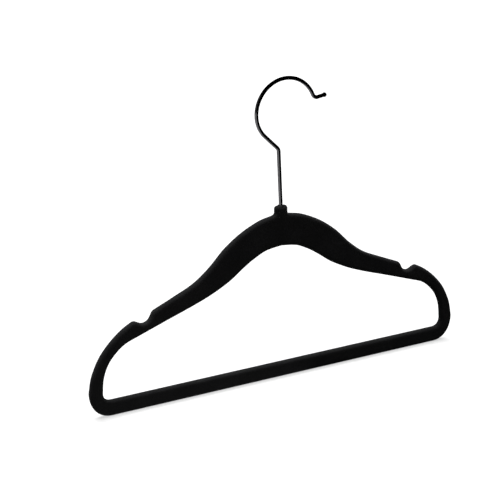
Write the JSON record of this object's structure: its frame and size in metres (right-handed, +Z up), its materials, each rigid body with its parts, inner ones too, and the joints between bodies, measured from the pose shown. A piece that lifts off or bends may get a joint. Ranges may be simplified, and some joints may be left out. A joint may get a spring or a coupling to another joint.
{
  "type": "clothes hanger",
  "caption": "Slim velvet-flocked clothes hanger: a closed frame with curved shoulders, strap notches and a straight bar, hung from a bent wire hook that swivels in its neck.",
  "frame": {"origin": "the point under the hook's crown that rests on a rail", "axes": "+Z up, +X along the bar towards the side where the hook opens, +Y through the thickness, away from the front face"},
  "size_m": [0.299, 0.0064, 0.2186],
  "materials": {
    "moulded_plastic": "black moulded ABS, hidden under the flock",
    "velvet_flock": "deep black electrostatic flock, short upright pile with a soft sheen",
    "black_nickel_wire": "glossy black nickel plate on drawn steel wire",
    "nylon_bush": "black nylon"
  },
  "bodies": {
    "hook": {"wire_hook": "black_nickel_wire"},
    "frame": {"moulded_frame": "moulded_plastic", "flock_coat": "velvet_flock", "split_bush": "nylon_bush"}
  },
  "joints": [
    {"name": "hook_swivel", "type": "hinge", "parent": "hook", "child": "frame", "pos_m": [-0.0044, 0, -0.0955], "axis": [0, 0, 1], "continuous": true}
  ]
}
